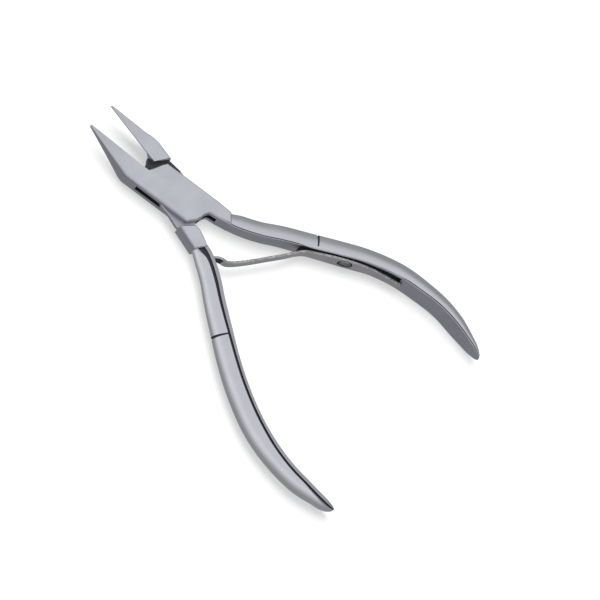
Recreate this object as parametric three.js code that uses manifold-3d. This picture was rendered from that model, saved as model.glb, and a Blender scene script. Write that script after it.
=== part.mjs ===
// Box-joint nippers with a single leaf spring, in millimetres.
// Origin: on the pivot axis, at the underside of the box. +X runs from the jaws to the handles, +Z up.
// Each half is drawn closed, with the cutting edges on the X axis and z = 0 at mid thickness, then opened
// by OPEN_DEG and lifted by half the box's thickness.

import * as THREE from 'three';
import { mergeVertices } from 'three/addons/utils/BufferGeometryUtils.js';
import Module from 'manifold-3d';

const wasm = await Module();
wasm.setup();

// ---- driving dimensions ----
const OPEN_DEG = 7.5; // each half swings this far either side of the X axis
const BOX_T = 5.5; // thickness of the box, jaws and shoulders
const TONGUE_T = 1.8; // thickness of the tongue that passes through the box
const SLOT_GAP = 0.1; // running clearance each side of the tongue
const PIN_R = 2.2;
const PIN_GAP = 0.06; // running clearance of the pin in the tongue
const EDGE_GAP = 0.08; // half of the gap left between the closed cutting edges
const JAW_TIP_X = -31.8;
const JAW_TIP_W = 0.6; // width left at each jaw tip
const HOLLOW_X = -15.3; // the hollow under the cutting edges starts to run out here
const HOLLOW_LEAN = 0.75; // the run-out leans this much along X per unit of depth
const HOLLOW_LENGTH = 25; // past the jaw tips
const EDGE_LAND = 0.35; // flat left under each cutting edge
const CHEEK_H = 5.4; // handle height next to the box
const GRIP_H = 8; // greatest handle height
const SPRING_T = 0.7;
const SCREW_HEAD_R = 1.95;
const SCREW_SHANK_R = 1.1;
const SCREW_GAP = 0.3; // clearance of the screw in the spring and in the handle
const SCREW_DEPTH = 4;
const POCKET_DEPTH = 1.5; // channel milled behind the spring
const POCKET_H = 5.9;
const POCKET_U = [0.285, 0.638]; // where the channel starts and ends along the handle
const RIM = 0.4; // the tongue half's handle stands this far in from the drawn inner edge
const GROOVE_U = 0.342; // the cut line's place along each handle
const GROOVE_DEPTH = 0.3;
const GROOVE_W = 0.45;

const STEEL = { satin: 0xb8bcc4, pin: 0xb4b8c0, spring: 0xa2a4a8, screw: 0x8e9094 };

// ---- small helpers ----
const rad = THREE.MathUtils.degToRad;
const smoothstep = THREE.MathUtils.smoothstep;

function solid(geometry) {
  const g = geometry.index ? geometry.toNonIndexed() : geometry.clone();
  g.deleteAttribute('normal');
  g.deleteAttribute('uv');
  const m = mergeVertices(g, 1e-5);
  return new wasm.Manifold(new wasm.Mesh({
    numProp: 3,
    vertProperties: new Float32Array(m.attributes.position.array),
    triVerts: new Uint32Array(m.index.array),
  }));
}

function toGeometry(manifold) {
  const mesh = manifold.getMesh();
  const g = new THREE.BufferGeometry();
  g.setAttribute('position', new THREE.BufferAttribute(new Float32Array(mesh.vertProperties), 3));
  g.setIndex(new THREE.BufferAttribute(new Uint32Array(mesh.triVerts), 1));
  g.computeVertexNormals();
  return g;
}

function mesh(name, manifold, color, roughness) {
  const material = new THREE.MeshStandardMaterial({ color, roughness, metalness: 1 });
  const m = new THREE.Mesh(toGeometry(manifold), material);
  m.name = name;
  return m;
}

// An upright prism on a plan outline, from z0 to z1.
function prism(points, z0, z1) {
  const shape = new THREE.Shape(points.map(([x, y]) => new THREE.Vector2(x, y)));
  const g = new THREE.ExtrudeGeometry(shape, { depth: z1 - z0, bevelEnabled: false, steps: 1 });
  g.translate(0, 0, z0);
  return solid(g);
}

function disc(r, z0, z1, segments = 40) {
  const g = new THREE.CylinderGeometry(r, r, z1 - z0, segments);
  g.rotateX(Math.PI / 2);
  g.translate(0, 0, (z0 + z1) / 2);
  return solid(g);
}

// Closed skin over equal rings of points, with flat ends.
function loft(rings) {
  const n = rings[0].length;
  const index = [];
  for (let i = 0; i < rings.length - 1; i += 1) {
    for (let j = 0; j < n; j += 1) {
      const a = i * n + j;
      const b = i * n + ((j + 1) % n);
      index.push(a, b, b + n, a, b + n, a + n);
    }
  }
  const last = (rings.length - 1) * n;
  for (let j = 1; j < n - 1; j += 1) {
    index.push(0, j + 1, j, last, last + j, last + j + 1);
  }
  const g = new THREE.BufferGeometry();
  g.setAttribute('position', new THREE.BufferAttribute(new Float32Array(rings.flat(2)), 3));
  g.setIndex(index);
  return solid(g);
}

function curve(points) {
  return new THREE.CatmullRomCurve3(points.map(([x, y]) => new THREE.Vector3(x, y, 0)), false, 'centripetal');
}

// Plan points, each moved to the left of the line through them by its own shift.
function bent(points, shifts) {
  return points.map(([x, y], i) => {
    const before = points[Math.max(i - 1, 0)];
    const after = points[Math.min(i + 1, points.length - 1)];
    const run = Math.hypot(after[0] - before[0], after[1] - before[1]);
    return [x - ((after[1] - before[1]) / run) * shifts[i], y + ((after[0] - before[0]) / run) * shifts[i]];
  });
}

// Point at offset n from a plan curve, to its left looking along it, at height z.
function beside(path, u, n, z) {
  const p = path.getPointAt(u);
  const t = path.getTangentAt(u);
  return [p.x - t.y * n, p.y + t.x * n, z];
}

// ---- handle: a D section swept along its inner edge, on the +Y side ----
const INNER_POINTS = [
  [12.5, 2.1], [16.8, 2.95], [21, 4.3], [26, 6.5], [31, 9.3], [38, 12.7], [46, 16.7], [54, 20.4],
  [63, 23.3], [71, 24.3], [79, 24.2], [87, 22.9], [96.3, 20.7],
];
const INNER = curve(INNER_POINTS);
// No two handles bend quite alike: each half moves the points of the shared line outward by its own shifts.
const BOX_SHIFTS = [0, 0, 0, 0, 0, 0, 0, 0, -0.15, -0.25, -0.05, -0.3, -0.45];
const TONGUE_SHIFTS = [0, -0.15, -0.15, -0.15, -0.2, -0.05, 0, -0.3, -0.45, -0.1, 0.25, 0.45, 0.5];
const HANDLE_STATIONS = 44;
const TIP_STATIONS = 6;
const D_STEPS = 14;
const TIP_ROUND = 5; // length over which the handle tip closes in

function handleWidth(u) {
  const root = 0.45 * (1 - smoothstep(u, 0.05, 0.3));
  const grip = 1.7 * smoothstep(u, 0.62, 0.95);
  const tip = 1.8 * smoothstep(u, 0.85, 1);
  return 5.55 - root - grip - tip;
}

// How much slimmer the handle is where it leaves the box or the shoulder.
function neck(u) {
  return 1.9 * (1 - smoothstep(u, -0.02, 0.09));
}

// How far the flat inner face stands in from the drawn edge. It starts sunk in the box or the shoulder.
function boxRim(u) {
  return -0.35 * (1 - smoothstep(u, 0.025, 0.05));
}

function tongueRim(u) {
  return -0.3 + (0.3 + RIM) * smoothstep(u, 0, 0.08) - RIM * smoothstep(u, 0.75, 1);
}

function handleHeight(u) {
  const dip = 0.6 * (1 - smoothstep(u, 0.04, 0.13));
  const tip = 2.6 * smoothstep(u, 0.86, 1);
  return THREE.MathUtils.lerp(CHEEK_H, GRIP_H, smoothstep(u, 0.12, 0.6)) - dip - tip;
}

// D section as [n, z] pairs: n is the distance out from the drawn inner edge.
function dSection(width, height, rim) {
  const flatN = 0.16 * width;
  const points = [[-rim, -0.44 * height]];
  for (let i = 0; i <= D_STEPS; i += 1) {
    const a = Math.PI * (i / D_STEPS - 0.5);
    points.push([flatN + (width - flatN) * Math.cos(a), 0.5 * height * Math.sin(a)]);
  }
  points.push([-rim, 0.44 * height]);
  return points;
}

// Stations along the handle, closer together where the tip rounds off, each with its scale.
function handleStations() {
  const tip = TIP_ROUND / INNER.getLength();
  const stations = [];
  for (let i = 0; i < HANDLE_STATIONS; i += 1) {
    stations.push([(1 - tip) * (i / HANDLE_STATIONS), 1]);
  }
  for (let i = 0; i <= TIP_STATIONS; i += 1) {
    const a = (i / TIP_STATIONS) * rad(84);
    stations.push([1 - tip * (1 - Math.sin(a)), Math.cos(a)]);
  }
  return stations;
}

function handle(path, rimAt, inset = 0) {
  const rings = handleStations().map(([u, scale]) => {
    const rim = rimAt(u);
    const width = (handleWidth(u) - 0.9 * Math.max(rim, 0) - neck(u) - inset) * scale;
    const section = dSection(width, (handleHeight(u) - 2 * inset) * scale, rim * scale);
    return section.map(([n, z]) => beside(path, u, n, z));
  });
  return loft(rings);
}

// The handle with its cut line: a thin slab less the inset handle is taken away.
function groovedHandle(shifts, rimAt) {
  const path = curve(bent(INNER_POINTS, shifts));
  const p = path.getPointAt(GROOVE_U);
  const t = path.getTangentAt(GROOVE_U);
  const slab = new THREE.BoxGeometry(GROOVE_W, 12, 12);
  slab.translate(0, 6, 0);
  slab.rotateZ(Math.atan2(t.y, t.x));
  slab.translate(p.x, p.y, 0);
  return handle(path, rimAt).subtract(solid(slab).subtract(handle(path, rimAt, GROOVE_DEPTH)));
}

// ---- plan outlines, drawn closed ----
// The box half: left jaw, box plates and right shoulder in one outline.
const BOX_OUTLINE = [
  [JAW_TIP_X, -EDGE_GAP], [JAW_TIP_X + 0.2, -JAW_TIP_W], [-16.4, -5.3], [-15.2, -5.6], [-13.8, -5.68],
  [6.3, -4.97], [8.3, -2.4], [8.8, -1.2], [9.05, 0.2], [9.9, 1.75], [12.5, 2.1], [16.8, 2.95], [14.5, 6.1],
  [10.2, 6.2], [-3.4, 5.7], [-8.25, 5.5], [-9.2, 4.1], [-10.6, 1.2], [-11.2, 0.3], [-12.1, -EDGE_GAP],
];
// The gap between the plates. It is open on both sides of the box.
const SLOT_OUTLINE = [
  [-11, -7], [14, -7], [12.6, 1.6], [12.2, 3], [9, 5.2], [8, 7.5], [-14, 7.5], [-13.7, 0.5],
  [-13.7, -2.3], [-11.8, -4], [-11, -5.2],
];
const TONGUE_JAW = [
  [JAW_TIP_X, EDGE_GAP], [-11.95, 0.15], [-9.65, 5.05], [-15.3, 5.15], [-18, 4.75], [-19.9, 3.9],
  [JAW_TIP_X + 0.2, JAW_TIP_W],
];
const TONGUE_OUTLINE = [
  [-14, 0.3], [-12.9, -0.9], [-12.5, -1.75], [-11.4, -1.9], [-6.5, -3.6], [-2.2, -5.1], [-0.8, -5.7],
  [2.8, -5.55], [6.5, -5.95], [9, -5.5], [9.5, -1.9], [8.6, -0.4], [7.6, 1.5], [4.5, 4], [0, 5.2],
  [-3, 5.65], [-5.5, 5.75], [-9.7, 5.05], [-13.5, 4.6],
];
const TONGUE_SHOULDER = [
  [7.1, -5.85], [14.8, -6.5], [16.4, -2.95], [15, -2.45], [13, -1.9], [11.2, -1.6], [9.6, -1.75],
];

// The hollow under a cutting edge: its profile in (y, z) is swept along the jaw.
function hollow(side) {
  const top = BOX_T / 2 - EDGE_LAND;
  const reach = 5.5;
  const shape = new THREE.Shape();
  shape.moveTo(-1, top);
  shape.lineTo(0, top);
  shape.quadraticCurveTo(reach * 0.56, top * 0.06, reach, -BOX_T / 2);
  shape.lineTo(reach, -BOX_T);
  shape.lineTo(-1, -BOX_T);
  const settings = { depth: HOLLOW_LENGTH, bevelEnabled: false, curveSegments: 6, steps: 1 };
  const g = new THREE.ExtrudeGeometry(shape, settings);
  g.applyMatrix4(new THREE.Matrix4().makeBasis(
    new THREE.Vector3(0, 1, 0), new THREE.Vector3(0, 0, 1), new THREE.Vector3(1, 0, 0),
  ));
  g.translate(HOLLOW_X - HOLLOW_LENGTH, 0, 0);
  const lean = new THREE.Matrix4();
  lean.elements[8] = -HOLLOW_LEAN;
  lean.elements[12] = HOLLOW_LEAN * top;
  g.applyMatrix4(lean);
  const cutter = solid(g);
  return side < 0 ? cutter.mirror([0, 1, 0]) : cutter;
}

// ---- leaf spring and its screw, drawn with the box half closed ----
const LEAF = curve([
  [65.8, 23.05], [57.2, 21], [49.6, 17.8], [42, 14.1], [38.2, 12], [36.2, 9.9], [34.4, 7.4], [30.7, 2.8],
  [26.9, -1.9], [23.8, -5.3], [22.2, -6.5], [20.6, -6.75], [19.4, -7.2], [18.5, -8],
]);
const LEAF_STATIONS = 56;
const SCREW_U = 0.303; // the screw's place along the leaf

function leafWidth(u) {
  const tail = smoothstep(u, 0, SCREW_U);
  const arm = smoothstep(u, SCREW_U, 0.6);
  return 2.4 + 2.8 * tail - 1.9 * arm;
}

function leaf() {
  const rings = [];
  for (let i = 0; i <= LEAF_STATIONS; i += 1) {
    const u = i / LEAF_STATIONS;
    const w = leafWidth(u) / 2;
    const t = SPRING_T / 2;
    rings.push([[-t, -w], [t, -w], [t, w], [-t, w]].map(([n, z]) => beside(LEAF, u, n, z)));
  }
  return loft(rings);
}

// Turns a shape of revolution about +Z into the screw's place: +Z becomes the way into the handle.
function atScrew(geometry) {
  const p = LEAF.getPointAt(SCREW_U);
  const t = LEAF.getTangentAt(SCREW_U);
  const into = new THREE.Vector3(t.y, -t.x, 0);
  geometry.applyQuaternion(new THREE.Quaternion().setFromUnitVectors(new THREE.Vector3(0, 0, 1), into));
  geometry.translate(p.x, p.y, 0);
  return solid(geometry);
}

function turned(profile, segments = 32) {
  const g = new THREE.LatheGeometry(profile.map(([r, z]) => new THREE.Vector2(r, z)), segments);
  g.rotateX(Math.PI / 2);
  return g;
}

// The screw: domed head, cone under it and plain shank. z = 0 is the middle of the leaf.
function screwShape(gap) {
  const t = SPRING_T / 2;
  const head = SCREW_HEAD_R + gap;
  const shank = SCREW_SHANK_R + gap;
  const dome = gap > 0 ? -2 : -t - 0.55;
  return turned([
    [0, dome], [head * 0.5, dome + 0.08], [head * 0.85, -t - 0.3], [head, -t], [shank, t],
    [shank, SCREW_DEPTH + 2 * gap], [0, SCREW_DEPTH + 2 * gap],
  ]);
}

// The channel behind the leaf, with a pad left round the screw.
function pocket() {
  const rings = [];
  const steps = 20;
  for (let i = 0; i <= steps; i += 1) {
    const u = THREE.MathUtils.lerp(POCKET_U[0], POCKET_U[1], i / steps);
    const depth = POCKET_DEPTH * smoothstep(i / steps, -0.02, 0.25);
    const w = POCKET_H / 2;
    rings.push([[-0.8, -w], [depth, -w], [depth, w], [-0.8, w]].map(([n, z]) => beside(INNER, u, n, z)));
  }
  const pad = atScrew(turned([[0, 0.6], [2.6, 0.6], [2.6, 3], [0, 3]]));
  return loft(rings).subtract(pad);
}

// ---- the five pieces ----
function boxHalf() {
  const half = BOX_T / 2;
  const gap = TONGUE_T / 2 + SLOT_GAP;
  return prism(BOX_OUTLINE, -half, half)
    .subtract(prism(SLOT_OUTLINE, -gap, gap))
    .subtract(hollow(-1))
    .add(groovedHandle(BOX_SHIFTS, boxRim))
    .subtract(pocket())
    .subtract(atScrew(screwShape(SCREW_GAP)))
    .subtract(disc(PIN_R + PIN_GAP, -half - 1, half + 1));
}

function tongueHalf() {
  const half = BOX_T / 2;
  return prism(TONGUE_JAW, -half, half)
    .subtract(hollow(1))
    .add(prism(TONGUE_OUTLINE, -TONGUE_T / 2, TONGUE_T / 2))
    .add(prism(TONGUE_SHOULDER, -half, half))
    .add(groovedHandle(TONGUE_SHIFTS, tongueRim).mirror([0, 1, 0]))
    .subtract(disc(PIN_R + PIN_GAP, -half - 1, half + 1));
}

function leafSpring() {
  return leaf().subtract(atScrew(screwShape(SCREW_GAP)));
}

// ---- assembly ----
const boxSide = new THREE.Group();
boxSide.rotation.z = rad(OPEN_DEG);
boxSide.add(mesh('box_half', boxHalf(), STEEL.satin, 0.35));
boxSide.add(mesh('pivot_pin', disc(PIN_R, -BOX_T / 2, BOX_T / 2), STEEL.pin, 0.35));
boxSide.add(mesh('leaf_spring', leafSpring(), STEEL.spring, 0.3));
boxSide.add(mesh('spring_screw', atScrew(screwShape(0)), STEEL.screw, 0.3));

const tongueSide = new THREE.Group();
tongueSide.rotation.z = rad(-OPEN_DEG);
tongueSide.add(mesh('tongue_half', tongueHalf(), STEEL.satin, 0.35));

const nippers = new THREE.Group();
nippers.add(boxSide, tongueSide);
nippers.position.z = BOX_T / 2;

export default nippers;
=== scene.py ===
"""Looks for the box-joint nippers: steel halves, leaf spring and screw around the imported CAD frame.

Shapes are drawn in millimetres with the tool closed and z = 0 at mid thickness, as in the CAD. place()
opens each half, lifts it by half the box's thickness and turns millimetres into metres.
"""

import math

import bmesh
import bpy
import numpy as np
from mathutils import Matrix, Vector


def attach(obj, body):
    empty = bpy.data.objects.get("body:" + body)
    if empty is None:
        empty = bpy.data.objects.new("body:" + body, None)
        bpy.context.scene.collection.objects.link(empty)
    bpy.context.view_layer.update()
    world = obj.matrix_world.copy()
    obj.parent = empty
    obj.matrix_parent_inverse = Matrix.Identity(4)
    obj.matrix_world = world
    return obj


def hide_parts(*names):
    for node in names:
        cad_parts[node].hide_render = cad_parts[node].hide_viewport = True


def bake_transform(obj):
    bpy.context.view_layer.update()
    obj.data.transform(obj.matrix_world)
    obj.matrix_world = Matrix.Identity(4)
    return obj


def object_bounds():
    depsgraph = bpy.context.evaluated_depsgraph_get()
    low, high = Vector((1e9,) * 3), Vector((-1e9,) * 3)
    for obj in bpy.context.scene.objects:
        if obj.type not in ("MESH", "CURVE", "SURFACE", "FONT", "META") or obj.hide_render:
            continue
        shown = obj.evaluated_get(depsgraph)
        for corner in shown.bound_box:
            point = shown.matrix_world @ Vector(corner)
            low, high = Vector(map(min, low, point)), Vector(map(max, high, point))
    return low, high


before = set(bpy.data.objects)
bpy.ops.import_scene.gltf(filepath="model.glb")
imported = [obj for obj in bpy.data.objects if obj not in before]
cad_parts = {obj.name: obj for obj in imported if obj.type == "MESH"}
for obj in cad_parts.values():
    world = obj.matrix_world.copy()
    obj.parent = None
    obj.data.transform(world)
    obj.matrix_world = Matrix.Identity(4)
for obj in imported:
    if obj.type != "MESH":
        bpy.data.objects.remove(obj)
cad_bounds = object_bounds()

MM = 0.001
OPEN = math.radians(7.5)
BOX_T = 5.5
TONGUE_T = 1.8
SLOT_H = TONGUE_T + 0.2
PIN_R = 2.2
PIN_GAP = 0.06
EDGE_GAP = 0.08
JAW_TIP_X = -31.8
JAW_TIP_W = 0.6
HOLLOW_X = -15.3
HOLLOW_LEAN = 0.75
EDGE_LAND = 0.35
CHEEK_H = 5.4
GRIP_H = 8.0
GRIP_W = 5.55
TIP_ROUND = 5.0
RIM = 0.4
SPRING_T = 0.7
# Where the painted shade on the leaf's curled end begins.
LEAF_LIP_X = 21.8
SCREW_HEAD_R = 1.95
SCREW_SHANK_R = 1.1
SCREW_GAP = 0.3
SCREW_DEPTH = 4.0
DRIVE_W = 0.56
DRIVE_TURN = math.radians(25)
POCKET_DEPTH = 1.5
POCKET_H = 5.9
POCKET_U = (0.285, 0.638)
GROOVE_U = 0.342
GROOVE_W = 0.45
GROOVE_DEPTH = 0.3
# Where the tongue's faces in the nick get painted shade.
NICK_X = (-13.9, -5.0)
NICK_Y = -2.4
BACK_STEPS = 24
FLAT_SHARE = 0.16
SHARP = math.radians(26)

# Material slots that every steel half carries, in this order. The side steel and the two near-black steels
# carry painted shade.
FLAT, SIDE, POLISH, DARK_SHADE, SHADE = range(5)
# Material slots of the leaf spring, and of the screw.
LEAF_SIDE, LEAF_RIM, LEAF_SHADE = range(3)
HEAD, DRIVE = range(2)


# ---- numbers and curves ----
def smoothstep(x, low, high):
    t = min(max((x - low) / (high - low), 0.0), 1.0)
    return t * t * (3 - 2 * t)


class Path:
    """A centripetal Catmull-Rom curve through plan points, read by its share u of arc length."""

    STEPS = 60

    def __init__(self, points):
        p = np.array(points, float)
        p = np.vstack([2 * p[0] - p[1], p, 2 * p[-1] - p[-2]])
        dense = [p[1]]
        for a, b, c, d in zip(p, p[1:], p[2:], p[3:]):
            d0, d1, d2 = (np.sqrt(np.linalg.norm(v)) for v in (b - a, c - b, d - c))
            m1 = ((b - a) / d0 - (c - a) / (d0 + d1) + (c - b) / d1) * d1
            m2 = ((c - b) / d1 - (d - b) / (d1 + d2) + (d - c) / d2) * d1
            for k in range(1, self.STEPS + 1):
                t = k / self.STEPS
                square, cube = 3 * (c - b) - 2 * m1 - m2, m1 + m2 - 2 * (c - b)
                dense.append(b + m1 * t + square * t * t + cube * t ** 3)
        self.points = np.array(dense)
        run = np.linalg.norm(np.diff(self.points, axis=0), axis=1)
        self.length = run.sum()
        self.u = np.concatenate([[0], np.cumsum(run)]) / self.length

    def point(self, u):
        return np.array([np.interp(u, self.u, self.points[:, k]) for k in (0, 1)])

    def tangent(self, u):
        step = 0.004
        t = self.point(min(u + step, 1)) - self.point(max(u - step, 0))
        return t / np.linalg.norm(t)

    def beside(self, u, n, z):
        p, t = self.point(u), self.tangent(u)
        return (p[0] - t[1] * n, p[1] + t[0] * n, z)


INNER_LINE = [
    (12.5, 2.1), (16.8, 2.95), (21, 4.3), (26, 6.5), (31, 9.3), (38, 12.7), (46, 16.7), (54, 20.4),
    (63, 23.3), (71, 24.3), (79, 24.2), (87, 22.9), (96.3, 20.7),
]
INNER = Path(INNER_LINE)


def bent(points, shifts):
    """The line through points, each moved outward by its own shift: no two handles bend quite alike."""
    out = []
    for i, (p, shift) in enumerate(zip(points, shifts)):
        before, after = points[max(i - 1, 0)], points[min(i + 1, len(points) - 1)]
        dx, dy = after[0] - before[0], after[1] - before[1]
        run = math.hypot(dx, dy)
        out.append((p[0] - dy / run * shift, p[1] + dx / run * shift))
    return Path(out)


BOX_INNER = bent(INNER_LINE, (0, 0, 0, 0, 0, 0, 0, 0, -0.15, -0.25, -0.05, -0.3, -0.45))
TONGUE_INNER = bent(INNER_LINE, (0, -0.15, -0.15, -0.15, -0.2, -0.05, 0, -0.3, -0.45, -0.1, 0.25, 0.45, 0.5))
LEAF = Path([
    (65.8, 23.05), (57.2, 21), (49.6, 17.8), (42, 14.1), (38.2, 12), (36.2, 9.9), (34.4, 7.4), (30.7, 2.8),
    (26.9, -1.9), (23.8, -5.3), (22.2, -6.5), (20.6, -6.75), (19.4, -7.2), (18.5, -8),
])
SCREW_U = 0.303


def rounded(points):
    """Plan outline with each (x, y, r) corner turned into an arc of radius r, or as much of it as fits."""
    out = []
    count = len(points)
    for i, corner in enumerate(points):
        p = np.array(corner[:2], float)
        r = corner[2] if len(corner) > 2 else 0
        if r <= 0:
            out.append(tuple(p))
            continue
        a = np.array(points[i - 1][:2], float) - p
        b = np.array(points[(i + 1) % count][:2], float) - p
        la, lb = np.linalg.norm(a), np.linalg.norm(b)
        a, b = a / la, b / lb
        half = math.acos(np.clip(a @ b, -1, 1)) / 2
        reach = min(r / math.tan(half), 0.45 * la, 0.45 * lb)
        start, end = p + a * reach, p + b * reach
        steps = max(3, int(math.degrees(math.pi - 2 * half) / 8))
        for k in range(steps + 1):
            t = k / steps
            out.append(tuple((1 - t) ** 2 * start + 2 * t * (1 - t) * p + t * t * end))
    return out


# ---- meshes ----
def new_object(name, vertices, faces, indices):
    mesh = bpy.data.meshes.new(name)
    mesh.from_pydata([tuple(v) for v in vertices], [], faces)
    for polygon, index in zip(mesh.polygons, indices):
        polygon.material_index = index
    bm = bmesh.new()
    bm.from_mesh(mesh)
    bmesh.ops.remove_doubles(bm, verts=bm.verts, dist=1e-5)
    bmesh.ops.recalc_face_normals(bm, faces=bm.faces)
    bmesh.ops.triangulate(bm, faces=bm.faces)
    bm.to_mesh(mesh)
    bm.free()
    obj = bpy.data.objects.new(name, mesh)
    bpy.context.scene.collection.objects.link(obj)
    return obj


def loft(name, rings, side_index, cap_index=SIDE):
    """Closed skin over equal rings. side_index gives the material of each strip round the ring."""
    n = len(rings[0])
    vertices = [v for ring in rings for v in ring]
    faces, indices = [], []
    for i in range(len(rings) - 1):
        for j in range(n):
            k = (j + 1) % n
            faces.append((i * n + j, i * n + k, (i + 1) * n + k, (i + 1) * n + j))
            indices.append(side_index[j] if isinstance(side_index, list) else side_index)
    last = (len(rings) - 1) * n
    faces.append(tuple(range(n - 1, -1, -1)))
    faces.append(tuple(range(last, last + n)))
    indices += [cap_index, cap_index]
    return new_object(name, vertices, faces, indices)


def inset(points, amounts):
    """Each corner moved inward so that its edges shift by that corner's amount."""
    p = np.array(points, float)
    before, after = np.roll(p, 1, axis=0), np.roll(p, -1, axis=0)
    out = []
    for a, b, c, amount in zip(before, p, after, amounts):
        e1, e2 = (b - a) / np.linalg.norm(b - a), (c - b) / np.linalg.norm(c - b)
        n1, n2 = np.array([-e1[1], e1[0]]), np.array([-e2[1], e2[0]])
        out.append(b + (n1 + n2) / max(1 + n1 @ n2, 0.35) * amount)
    return out


def slab(name, outline, z0, z1, chamfer=lambda x, y: 0.0, top=FLAT, side=SIDE):
    """A prism on a counter-clockwise outline whose rims are chamfered by chamfer(x, y)."""
    cut = [max(chamfer(x, y), 0.0) for x, y in outline]
    small = inset(outline, cut)
    if max(cut) == 0:
        rings = [[(x, y, z) for x, y in outline] for z in (z0, z1)]
    else:
        rings = [
            [(x, y, z0) for x, y in small],
            [(x, y, z0 + c) for (x, y), c in zip(outline, cut)],
            [(x, y, z1 - c) for (x, y), c in zip(outline, cut)],
            [(x, y, z1) for x, y in small],
        ]
    return loft(name, rings, side, top)


def turned(name, profile, segments=64, index=SIDE):
    """A closed solid of revolution about Z from (radius, z) pairs that start and end on the axis."""
    rings = []
    for k in range(segments):
        a = 2 * math.pi * k / segments
        rings.append([(r * math.cos(a), r * math.sin(a), z) for r, z in profile[1:-1]])
    m = len(profile) - 2
    vertices = [v for ring in rings for v in ring]
    faces = []
    for k in range(segments):
        nxt = (k + 1) % segments
        for j in range(m - 1):
            faces.append((k * m + j, nxt * m + j, nxt * m + j + 1, k * m + j + 1))
    base, tip = len(vertices), len(vertices) + 1
    vertices += [(0, 0, profile[0][1]), (0, 0, profile[-1][1])]
    for k in range(segments):
        nxt = (k + 1) % segments
        faces.append((base, nxt * m, k * m))
        faces.append((tip, k * m + m - 1, nxt * m + m - 1))
    return new_object(name, vertices, faces, [index] * len(faces))


def cut_with(obj, tool, operation="DIFFERENCE"):
    """Boolean of obj with tool. The tool is used up; faces keep their material indices."""
    for o in (obj, tool):
        while len(o.data.materials) < len(STEELS):
            o.data.materials.append(STEELS[len(o.data.materials)])
    modifier = obj.modifiers.new("cut", "BOOLEAN")
    modifier.object = tool
    modifier.operation = operation
    modifier.solver = "MANIFOLD"
    apply_modifiers(obj)
    bpy.data.objects.remove(tool)
    return obj


def apply_modifiers(obj):
    graph = bpy.context.evaluated_depsgraph_get()
    evaluated = obj.evaluated_get(graph)
    mesh = bpy.data.meshes.new_from_object(evaluated, preserve_all_data_layers=True, depsgraph=graph)
    obj.modifiers.clear()
    old = obj.data
    obj.data = mesh
    bpy.data.meshes.remove(old)


def mirror_y(obj):
    obj.data.transform(Matrix.Scale(-1, 4, (0, 1, 0)))
    obj.data.flip_normals()
    return obj


def refill(bm, z, index):
    """Swaps the faces that lie on a level plane for one clean filling of the same outline and holes."""
    level = [f for f in bm.faces if all(abs(v.co.z - z) < 1e-4 for v in f.verts)]
    if not level:
        return
    bmesh.ops.delete(bm, geom=level, context="FACES")
    loose = [v for v in bm.verts if v.is_boundary]
    bmesh.ops.remove_doubles(bm, verts=loose, dist=0.02)
    bmesh.ops.dissolve_degenerate(bm, edges=bm.edges, dist=2e-4)
    rim = [e for e in bm.edges if e.is_boundary]
    filled = bmesh.ops.triangle_fill(bm, use_beauty=True, use_dissolve=False, edges=rim, normal=(0, 0, z))
    for face in filled["geom"]:
        if isinstance(face, bmesh.types.BMFace):
            face.material_index = index
            if face.normal.z * z < 0:
                face.normal_flip()


def tidy_mesh(obj):
    """Drops slivers that a boolean leaves, smooths the skin and keeps its real edges sharp."""
    bm = bmesh.new()
    bm.from_mesh(obj.data)
    for z in (-BOX_T / 2, BOX_T / 2):
        refill(bm, z, FLAT)
    bmesh.ops.holes_fill(bm, edges=[e for e in bm.edges if e.is_boundary], sides=0)
    bmesh.ops.remove_doubles(bm, verts=bm.verts, dist=2e-4)
    bmesh.ops.dissolve_degenerate(bm, edges=bm.edges, dist=2e-4)
    for face in bm.faces:
        face.smooth = True
    for edge in bm.edges:
        edge.smooth = len(edge.link_faces) == 2 and edge.calc_face_angle(0) < SHARP
    bm.to_mesh(obj.data)
    bm.free()
    weighted = obj.modifiers.new("normals", "WEIGHTED_NORMAL")
    weighted.mode = "FACE_AREA_WITH_ANGLE"
    weighted.keep_sharp = True
    apply_modifiers(obj)


def dress(obj, materials):
    """Swaps the steels in the object's slots for its own materials, in the same order."""
    for index, material in enumerate(materials):
        obj.data.materials[index] = material
    while len(obj.data.materials) > len(materials):
        obj.data.materials.pop()


def place(obj, side):
    """From the drawing to the row frame: side is +1 for the box half's pieces, -1 for the tongue half's."""
    lift = Matrix.Translation((0, 0, BOX_T / 2))
    obj.data.transform(Matrix.Scale(MM, 4) @ Matrix.Rotation(side * OPEN, 4, "Z") @ lift)
    return obj


# ---- steel halves ----
def handle_width(u):
    root = 0.45 * (1 - smoothstep(u, 0.05, 0.3))
    grip = 1.7 * smoothstep(u, 0.62, 0.95)
    tip = 1.8 * smoothstep(u, 0.85, 1)
    return GRIP_W - root - grip - tip


def handle_height(u):
    dip = 0.6 * (1 - smoothstep(u, 0.04, 0.13))
    tip = 2.6 * smoothstep(u, 0.86, 1)
    return CHEEK_H + (GRIP_H - CHEEK_H) * smoothstep(u, 0.12, 0.6) - dip - tip


def neck(u):
    """How much slimmer the handle is where it leaves the box or the shoulder."""
    return 1.9 * (1 - smoothstep(u, -0.02, 0.09))


def rim_at(u, tongue):
    """How far the inner face stands in from the drawn line. It starts sunk in the box or the shoulder."""
    if not tongue:
        return -0.35 * (1 - smoothstep(u, 0.025, 0.05))
    return -0.3 + (0.3 + RIM) * smoothstep(u, 0, 0.08) - RIM * smoothstep(u, 0.75, 1)


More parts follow.
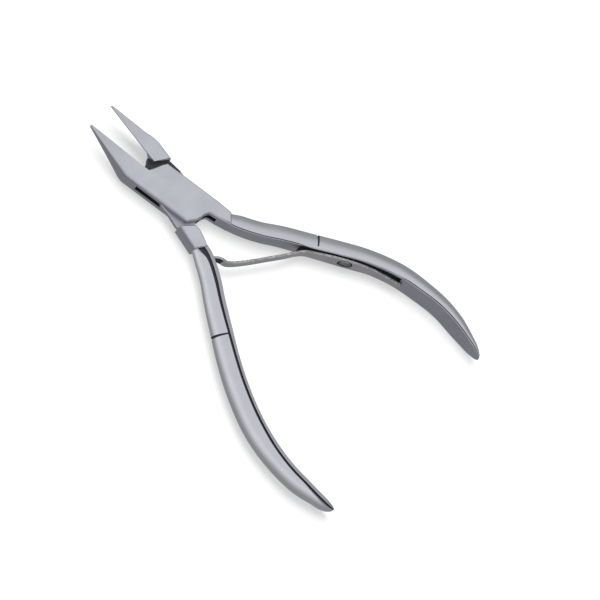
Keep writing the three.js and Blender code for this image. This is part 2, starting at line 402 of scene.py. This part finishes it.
def full_section(width, height, rim, crease):
    """The handle's section as (n, z) points, and the material of the strip that follows each point.

    It runs up the inner flat, over the rim and the crease, round the back and the same way home underneath.
    """
    flat_n = FLAT_SHARE * width
    start, wide, deep = crease
    top = [
        (-rim, 0.3 * height, SIDE),
        (-rim, 0.46 * height, SIDE),
        (-rim + 0.1, 0.475 * height, SIDE),
        # The crease strips carry the near-black steel as painted shade.
        (start, 0.485 * height, DARK_SHADE),
        (start + 0.2 * wide, 0.48 * height - deep, DARK_SHADE),
        (start + 0.8 * wide, 0.48 * height - deep, DARK_SHADE),
        (start + wide, 0.49 * height, POLISH),
    ]
    first = max(start + wide + 0.1, flat_n)
    reach = math.acos(min((first - flat_n) / (width - flat_n), 1))
    for i in range(BACK_STEPS + 1):
        a = reach * (1 - i / BACK_STEPS)
        top.append((flat_n + (width - flat_n) * math.cos(a), 0.5 * height * math.sin(a), POLISH))
    mats = [m for _, _, m in top[:-1]]
    section = [(n, z) for n, z, _ in top] + [(n, -z) for n, z, _ in reversed(top[:-1])]
    return section, mats + mats[::-1] + [SIDE]


def simple_section(width, height):
    """The handle's section without its rim and crease: a plain D."""
    flat_n = FLAT_SHARE * width
    points = [(0, -0.44 * height)]
    steps = 40
    for i in range(steps + 1):
        a = math.pi * (i / steps - 0.5)
        points.append((flat_n + (width - flat_n) * math.cos(a), 0.5 * height * math.sin(a)))
    return points + [(0, 0.44 * height)]


def stations():
    """Places along the handle, closer where the tip rounds off, each with its scale."""
    tip = TIP_ROUND / INNER.length
    straight, curved = 150, 16
    out = [((1 - tip) * i / straight, 1.0) for i in range(straight)]
    for i in range(curved + 1):
        a = math.radians(86) * i / curved
        out.append((1 - tip * (1 - math.sin(a)), math.cos(a)))
    return out


def crease_at(u, rim, tongue):
    """Start, width and depth of the crease beside the inner rim, whose faces carry painted shade.

    The tongue half's opens out towards the shoulder. The box half's all but closes beside the pocket.
    """
    if not tongue:
        open_share = 1 - 0.9 * (smoothstep(u, 0.27, 0.31) - smoothstep(u, 0.62, 0.66))
        return 0.15 - rim, 0.26 * open_share, 0.16 * open_share
    start = 1.1 - 0.28 * smoothstep(u, 0.28, 0.42) + 0.2 * smoothstep(u, 0.64, 0.76)
    mouth = 0.8 * (1 - smoothstep(u, 0.04, 0.1))
    return start - rim, 1.1 - 0.38 * smoothstep(u, 0.05, 0.35) + mouth, 0.42


def handle(name, tongue):
    line = TONGUE_INNER if tongue else BOX_INNER
    rings = []
    for u, scale in stations():
        rim = rim_at(u, tongue)
        width = handle_width(u) - 0.9 * max(rim, 0) - neck(u)
        section, mats = full_section(width, handle_height(u), rim, crease_at(u, rim, tongue))
        rings.append([line.beside(u, n * scale, z * scale) for n, z in section])
    obj = loft(name, rings, mats, POLISH)
    return cut_with(obj, groove_tool(tongue))


def groove_tool(tongue):
    """The ring cut round the back of the handle: a wedge, wider outside, less a slightly smaller handle."""
    line = TONGUE_INNER if tongue else BOX_INNER
    p, t = line.point(GROOVE_U), line.tangent(GROOVE_U)
    normal = np.array([-t[1], t[0]])
    inside, outside = p + normal * 0.9, p + normal * 9
    narrow, wide = t * GROOVE_W / 2, t * GROOVE_W * 1.2
    wedge = [tuple(q) for q in (inside - narrow, inside + narrow, outside + wide, outside - wide)]
    # The groove's faces carry the near-black steel as painted shade.
    tool = slab("groove", wedge, -6, 6, top=DARK_SHADE, side=DARK_SHADE)
    rings = []
    for u in np.linspace(GROOVE_U - 0.03, GROOVE_U + 0.03, 9):
        width = handle_width(u) - 0.9 * max(rim_at(u, tongue), 0) - GROOVE_DEPTH
        section = simple_section(width, handle_height(u) - GROOVE_DEPTH)
        rings.append([line.beside(u, n, z) for n, z in section])
    return cut_with(tool, loft("groove_core", rings, DARK_SHADE, DARK_SHADE))


BOX_OUTLINE = rounded([
    (JAW_TIP_X, -EDGE_GAP), (JAW_TIP_X + 0.2, -JAW_TIP_W), (-15.2, -5.75, 4), (6.3, -4.97, 0.25),
    (8.3, -2.4, 0.5), (8.8, -1.2, 1.5), (9.05, 0.2, 1.5), (9.9, 1.75, 1.2), (12.5, 2.1), (16.8, 2.95, 0.2),
    (14.5, 6.1, 0.3), (10.2, 6.2, 4), (-3.4, 5.7, 8), (-8.25, 5.5, 0.2), (-9.2, 4.1, 2), (-10.6, 1.2, 2),
    (-11.2, 0.3, 0.6), (-12.1, -EDGE_GAP, 1),
])
SLOT_OUTLINE = [
    (-11, -7), (14, -7), (12.6, 1.6), (12.2, 3), (9, 5.2), (8, 7.5), (-14, 7.5), (-13.7, 0.5),
    (-13.7, -2.3), (-11.8, -4), (-11, -5.2),
]
TONGUE_JAW = rounded([
    (JAW_TIP_X, EDGE_GAP), (-11.95, 0.15, 0.15), (-9.65, 5.05, 0.2), (-15.3, 5.15, 3), (-18, 4.75, 4),
    (-19.9, 3.9, 5), (JAW_TIP_X + 0.2, JAW_TIP_W),
])
TONGUE_OUTLINE = rounded([
    (-14, 0.3), (-12.9, -0.9, 0.6), (-12.5, -1.75, 0.5), (-11.4, -1.9, 0.6), (-6.5, -3.6), (-2.2, -5.1, 1),
    (-0.8, -5.7, 0.3), (2.8, -5.55, 4), (6.5, -5.95), (9, -5.5), (9.5, -1.9), (8.6, -0.4, 0.8),
    (7.6, 1.5, 1.5), (4.5, 4, 3), (0, 5.2, 3), (-3, 5.65), (-5.5, 5.75, 1), (-9.7, 5.05), (-13.5, 4.6),
])
TONGUE_SHOULDER = rounded([
    (7.1, -5.85, 0.2), (14.8, -6.5, 0.3), (16.4, -2.95, 0.2), (15, -2.45, 2), (13, -1.9, 2), (11.2, -1.6, 2),
    (9.6, -1.75, 0.3),
])


def jaw_chamfer(x, y):
    """No chamfer on the cutting edge, little at the tip, and a ground one on the other rims."""
    if abs(y) < 0.3 and x < -11.5:
        return 0.0
    return 0.33 * smoothstep(x, -32, -20) + 0.02


def tongue_chamfer(x, y):
    """The near edge of the tongue is eased where it slides out of the slot."""
    return 0.2 * smoothstep(x, -6, -2) * (1 - smoothstep(y, -5, -3))


def hollow(side):
    """The hollow ground under a cutting edge, running out at HOLLOW_X."""
    top = BOX_T / 2 - EDGE_LAND
    reach = 5.5
    profile = [(-1.0, top), (0.0, top)]
    for k in range(1, 9):
        t = k / 8
        y = 2 * t * (1 - t) * reach * 0.56 + t * t * reach
        z = (1 - t) ** 2 * top + 2 * t * (1 - t) * top * 0.06 - t * t * BOX_T / 2
        profile.append((y, z))
    profile += [(reach, -BOX_T), (-1.0, -BOX_T)]
    rings = []
    for x in (HOLLOW_X - 25, HOLLOW_X):
        rings.append([(x + HOLLOW_LEAN * (top - z), side * y, z) for y, z in profile])
    return loft("hollow", rings, SIDE)


def pocket():
    """The channel milled behind the leaf, less the pad left round the screw."""
    rings = []
    steps = 48
    for i in range(steps + 1):
        u = POCKET_U[0] + (POCKET_U[1] - POCKET_U[0]) * i / steps
        depth = POCKET_DEPTH * smoothstep(i / steps, -0.02, 0.25)
        w = POCKET_H / 2
        soft = 0.35 * min(depth, 1)
        section = [
            (-0.8, -w), (depth - soft, -w), (depth - 0.3 * soft, -w + 0.3 * soft), (depth, -w + soft),
            (depth, w - soft), (depth - 0.3 * soft, w - 0.3 * soft), (depth - soft, w), (-0.8, w),
        ]
        rings.append([INNER.beside(u, n, z) for n, z in section])
    pad = at_screw(turned("pad", [(0, 0.6), (2.6, 0.6), (2.6, 3), (0, 3)], index=SIDE))
    # The pocket's faces carry the near-black steel as painted shade.
    return cut_with(loft("pocket", rings, DARK_SHADE, DARK_SHADE), pad)


def screw_axis():
    p, t = LEAF.point(SCREW_U), LEAF.tangent(SCREW_U)
    return Vector((p[0], p[1], 0)), Vector((t[1], -t[0], 0))


def at_screw(obj):
    """Turns a shape drawn about +Z into the screw's place: +Z becomes the way into the handle."""
    centre, into = screw_axis()
    turn = Vector((0, 0, 1)).rotation_difference(into).to_matrix().to_4x4()
    obj.data.transform(Matrix.Translation(centre) @ turn)
    return obj


def screw_hole(index):
    t = SPRING_T / 2
    head, shank = SCREW_HEAD_R + SCREW_GAP, SCREW_SHANK_R + SCREW_GAP
    deep = SCREW_DEPTH + 2 * SCREW_GAP
    profile = [(0, -2), (head, -2), (head, -t), (shank, 0.8), (shank, deep), (0, deep)]
    return at_screw(turned("screw_hole", profile, index=index))


def pin_hole(gap=0.0):
    r = PIN_R + gap
    profile = [(0, -4), (r, -4), (r, 4), (0, 4)]
    # The hole's wall carries the near-black steel as painted shade.
    return turned("pin_hole", profile, 96, DARK_SHADE)


def pivot_pin():
    """Flush with the box and hammered tight, so that only the tongue half has any gap round it."""
    half = BOX_T / 2
    obj = turned("pivot_pin_steel", [(0, -half), (PIN_R, -half), (PIN_R, half), (0, half)], 96, FLAT)
    for material in STEELS:
        obj.data.materials.append(material)
    tidy_mesh(obj)
    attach(place(obj, 1), "box_side")
    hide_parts("pivot_pin")


def box_half():
    half = BOX_T / 2
    obj = slab("box_half_steel", BOX_OUTLINE, -half, half, jaw_chamfer)
    # The slot's, the screw hole's and the pin hole's walls carry the near-black steel as painted shade.
    cut_with(obj, slab("slot", SLOT_OUTLINE, -SLOT_H / 2, SLOT_H / 2, top=DARK_SHADE, side=DARK_SHADE))
    cut_with(obj, hollow(-1))
    cut_with(obj, handle("box_handle", False), "UNION")
    cut_with(obj, pocket())
    cut_with(obj, screw_hole(DARK_SHADE))
    cut_with(obj, pin_hole())
    tidy_mesh(obj)
    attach(place(obj, 1), "box_side")
    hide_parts("box_half")


def tongue_half():
    half = BOX_T / 2
    obj = slab("tongue_half_steel", TONGUE_JAW, -half, half, jaw_chamfer)
    cut_with(obj, hollow(1))
    tongue = slab("tongue", TONGUE_OUTLINE, -TONGUE_T / 2, TONGUE_T / 2, tongue_chamfer, top=SIDE)
    cut_with(obj, tongue, "UNION")
    shoulder = slab("shoulder", TONGUE_SHOULDER, -half, half, lambda x, y: 0.25)
    cut_with(obj, shoulder, "UNION")
    cut_with(obj, mirror_y(handle("tongue_handle", True)), "UNION")
    cut_with(obj, pin_hole(PIN_GAP))
    # Painted shade: the tongue's faces in the nick by the jaw get the near-black steel.
    for face in obj.data.polygons:
        x, y, _ = face.center
        on_tongue = all(abs(obj.data.vertices[i].co.z) < TONGUE_T / 2 + 0.01 for i in face.vertices)
        if on_tongue and NICK_X[0] < x < NICK_X[1] and y > NICK_Y:
            face.material_index = SHADE
    tidy_mesh(obj)
    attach(place(obj, -1), "tongue_side")
    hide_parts("tongue_half")


# ---- leaf spring and screw ----
def leaf_width(u):
    tail = smoothstep(u, 0, SCREW_U)
    arm = smoothstep(u, SCREW_U, 0.6)
    end = math.sqrt(max(1 - max(1 - u / 0.018, 0) ** 2, 0.05))
    return (2.4 + 2.8 * tail - 1.9 * arm) * end


def leaf_spring():
    rings = []
    count = 170
    soft = 0.12
    for i in range(count + 1):
        u = i / count
        w, t = leaf_width(u) / 2, SPRING_T / 2
        section = [
            (-t, -w + soft), (-t + soft, -w), (t - soft, -w), (t, -w + soft),
            (t, w - soft), (t - soft, w), (-t + soft, w), (-t, w - soft),
        ]
        rings.append([LEAF.beside(u, n, z) for n, z in section])
    strips = [LEAF_RIM, LEAF_RIM, LEAF_RIM, LEAF_SIDE] * 2
    obj = loft("leaf_spring_steel", rings, strips, LEAF_RIM)
    # The screw hole's walls in the leaf carry painted shade.
    cut_with(obj, screw_hole(LEAF_SHADE))
    tidy_mesh(obj)
    place(obj, 1)
    dress(obj, (LEAF_FACE, LEAF_EDGE, DARK_SHADE_STEEL))
    # Painted shade: the leaf's curled end carries the near-black steel on its upright faces.
    for face in obj.data.polygons:
        if face.center.x < LEAF_LIP_X * MM and abs(face.normal.z) < 0.5:
            face.material_index = LEAF_SHADE
    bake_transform(obj)
    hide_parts("leaf_spring")


def spring_screw():
    t = SPRING_T / 2
    r = SCREW_HEAD_R
    rise = 0.55
    profile = [(0, -t - rise)]
    for k in range(1, 9):
        a = math.pi / 2 * k / 8
        profile.append((r * math.sin(a), -t - rise * math.cos(a)))
    profile += [(SCREW_SHANK_R, t), (SCREW_SHANK_R, SCREW_DEPTH), (0, SCREW_DEPTH)]
    obj = turned("spring_screw_steel", profile, 72, HEAD)
    w = DRIVE_W / 2
    # The drive slot's faces carry the near-black steel as painted shade.
    slot = slab("drive", [(-3, -w), (3, -w), (3, w), (-3, w)], -2, -t - 0.12, top=DRIVE, side=DRIVE)
    slot.data.transform(Matrix.Rotation(DRIVE_TURN, 4, "Z"))
    cut_with(obj, slot)
    at_screw(obj)
    tidy_mesh(obj)
    dress(obj, (SCREW, DARK_SHADE_STEEL))
    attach(place(obj, 1), "box_side")
    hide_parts("spring_screw")


# ---- materials ----
def ramp(tree, value, low, high):
    """A smooth step from 0 to 1 as a socket goes from low to high."""
    node = tree.nodes.new("ShaderNodeMapRange")
    node.interpolation_type = "SMOOTHSTEP"
    node.inputs["From Min"].default_value = low
    node.inputs["From Max"].default_value = high
    tree.links.new(value, node.inputs["Value"])
    return node.outputs["Result"]


def mixed(tree, factor, first, second):
    """A colour between first and second, each a colour or a socket, by the socket factor."""
    node = tree.nodes.new("ShaderNodeMix")
    node.data_type = "RGBA"
    tree.links.new(factor, node.inputs["Factor"])
    for socket, value in (("A", first), ("B", second)):
        if isinstance(value, tuple):
            node.inputs[socket].default_value = (*value, 1)
        else:
            tree.links.new(value, node.inputs[socket])
    return node.outputs["Result"]


def steel(name, colour, roughness, spread=0.06, grain=(1, 14, 14), scale=900, bump=0.02, metallic=1.0,
          mottle=0.05, cloud_scale=160, tip_shade=1.0):
    """Steel with fine grinding lines and a faint cloudy tone, and painted shade that darkens it towards the
    jaw tips.

    Grain stretches the noise: a small number is the way the lines run.
    """
    material = bpy.data.materials.new(name)
    material.use_nodes = True
    nodes, links = material.node_tree.nodes, material.node_tree.links
    shader = nodes["Principled BSDF"]
    shader.inputs["Metallic"].default_value = metallic
    coords = nodes.new("ShaderNodeTexCoord")
    stretch = nodes.new("ShaderNodeMapping")
    stretch.inputs["Scale"].default_value = grain
    links.new(coords.outputs["Object"], stretch.inputs["Vector"])
    lines = nodes.new("ShaderNodeTexNoise")
    lines.inputs["Scale"].default_value = scale
    lines.inputs["Detail"].default_value = 4
    links.new(stretch.outputs["Vector"], lines.inputs["Vector"])
    cloud = nodes.new("ShaderNodeTexNoise")
    cloud.inputs["Scale"].default_value = cloud_scale
    cloud.inputs["Detail"].default_value = 3
    links.new(coords.outputs["Object"], cloud.inputs["Vector"])
    rough = nodes.new("ShaderNodeMapRange")
    rough.inputs["To Min"].default_value = roughness - spread
    rough.inputs["To Max"].default_value = roughness + spread
    links.new(lines.outputs["Fac"], rough.inputs["Value"])
    links.new(rough.outputs["Result"], shader.inputs["Roughness"])
    darker, lighter = (tuple(c * (1 + shift) for c in colour) for shift in (-mottle, mottle))
    tree = material.node_tree
    contrast = ramp(tree, cloud.outputs["Fac"], 0.3, 0.7)
    tone = mixed(tree, contrast, darker, lighter)
    split = nodes.new("ShaderNodeSeparateXYZ")
    links.new(coords.outputs["Object"], split.inputs["Vector"])
    # Painted shade: the base darkens towards the jaw tips.
    towards_tip = ramp(tree, split.outputs["X"], -0.012, -0.034)
    tone = mixed(tree, towards_tip, tone, tuple(c * tip_shade for c in colour))
    links.new(tone, shader.inputs["Base Color"])
    relief = nodes.new("ShaderNodeBump")
    relief.inputs["Strength"].default_value = bump
    relief.inputs["Distance"].default_value = 0.0002
    links.new(lines.outputs["Fac"], relief.inputs["Height"])
    links.new(relief.outputs["Normal"], shader.inputs["Normal"])
    return material


STEELS = [
    # The flats darken towards the jaw tips as painted shade.
    steel("satin_flat", (0.605, 0.625, 0.665), 0.34, tip_shade=0.86),
    # Ground finish on the sides and rims, with a base darker than the flats as painted shade.
    steel("ground_side_painted_shade", (0.43, 0.43, 0.485), 0.36, grain=(1, 10, 10)),
    steel("polished_steel", (0.61, 0.625, 0.66), 0.2, 0.01, bump=0.0, mottle=0.02),
    # Near-black steel: painted shade in the crease, slot, pocket, holes and groove, on the leaf's curled end
    # and in the screw's drive.
    steel("dark_painted_shade", (0.03, 0.03, 0.035), 0.6, metallic=0.6),
    # Near-black steel as painted shade in the nick.
    steel("nick_painted_shade", (0.075, 0.075, 0.085), 0.45),
]
# The same near-black steel, used as painted shade on the leaf and the screw.
DARK_SHADE_STEEL = STEELS[DARK_SHADE]
LEAF_FACE = steel("leaf_face", (0.5, 0.5, 0.52), 0.3)
LEAF_EDGE = steel("leaf_edge", (0.46, 0.46, 0.455), 0.45, 0.12, grain=(6, 6, 1), scale=1500, bump=0.2,
                  mottle=0.35, cloud_scale=1500)
SCREW = steel("screw_face", (0.24, 0.25, 0.26), 0.2, mottle=0.3, cloud_scale=900)

box_half()
tongue_half()
leaf_spring()
spring_screw()
pivot_pin()


# ---- floor, light and camera ----
def floor():
    size = 3.0
    corners = [(-size, -size, 0), (size, -size, 0), (size, size, 0), (-size, size, 0)]
    obj = new_object("floor", corners, [(0, 1, 2, 3)], [0])
    obj.location.z = cad_bounds[0][2] - 0.00002
    material = bpy.data.materials.new("floor_white")
    material.use_nodes = True
    shader = material.node_tree.nodes["Principled BSDF"]
    shader.inputs["Base Color"].default_value = (0.3, 0.3, 0.3, 1)
    shader.inputs["Roughness"].default_value = 0.9
    shader.inputs["Specular IOR Level"].default_value = 0.0
    shader.inputs["Emission Color"].default_value = (1, 1, 1, 1)
    shader.inputs["Emission Strength"].default_value = 0.5
    obj.data.materials.append(material)
    obj.visible_glossy = False


def soft_light(name, size, energy, location):
    light = bpy.data.lights.new(name, "AREA")
    light.shape = "DISK"
    light.size = size
    light.energy = energy
    obj = bpy.data.objects.new(name, light)
    obj.location = location
    aim = Vector((0.03, 0, 0)) - obj.location
    obj.rotation_euler = aim.to_track_quat("-Z", "Y").to_euler()
    obj.visible_glossy = False
    bpy.context.scene.collection.objects.link(obj)


def studio():
    """A white tent: brightest low on the near side, dimmer on the far side and below, and one soft lamp."""
    world = bpy.data.worlds.new("studio")
    bpy.context.scene.world = world
    world.use_nodes = True
    tree = world.node_tree
    coords = tree.nodes.new("ShaderNodeTexCoord")
    split = tree.nodes.new("ShaderNodeSeparateXYZ")
    tree.links.new(coords.outputs["Generated"], split.inputs["Vector"])
    side = ramp(tree, split.outputs["Y"], -0.8, 0.8)
    horizon = mixed(tree, side, (1.08, 1.09, 1.11), (0.42, 0.42, 0.43))
    horizon = mixed(tree, ramp(tree, split.outputs["X"], -0.25, -0.8), horizon, (1.15, 1.15, 1.16))
    upper = mixed(tree, ramp(tree, split.outputs["Z"], 0.25, 0.9), horizon, (0.84, 0.845, 0.86))
    sky = mixed(tree, ramp(tree, split.outputs["Z"], 0.75, -0.75), upper, (0.38, 0.38, 0.39))
    tree.links.new(sky, tree.nodes["Background"].inputs["Color"])
    soft_light("key", 0.9, 20.5, (-0.2, 0.26, 1.04))
    bpy.context.scene.view_settings.view_transform = "Standard"


def camera():
    """A long lens 62 degrees up on the -Y side, rolled so that the tool runs down to the right."""
    elevation, roll = math.radians(62), math.radians(45.4)
    distance, width = 1.0, 0.169
    target = Vector((44.8, 3.72, BOX_T)) * MM
    look = Vector((0, math.cos(elevation), -math.sin(elevation)))
    level_up = Vector((0, math.sin(elevation), math.cos(elevation)))
    right = Vector((1, 0, 0)) * math.cos(roll) + level_up * math.sin(roll)
    up = level_up * math.cos(roll) - Vector((1, 0, 0)) * math.sin(roll)
    data = bpy.data.cameras.new("camera")
    data.lens = data.sensor_width * distance / width
    obj = bpy.data.objects.new("camera", data)
    axes = Matrix((right, up, -look)).transposed().to_4x4()
    obj.matrix_world = Matrix.Translation(target - look * distance) @ axes
    bpy.context.scene.collection.objects.link(obj)
    bpy.context.scene.camera = obj


floor()
studio()
camera()
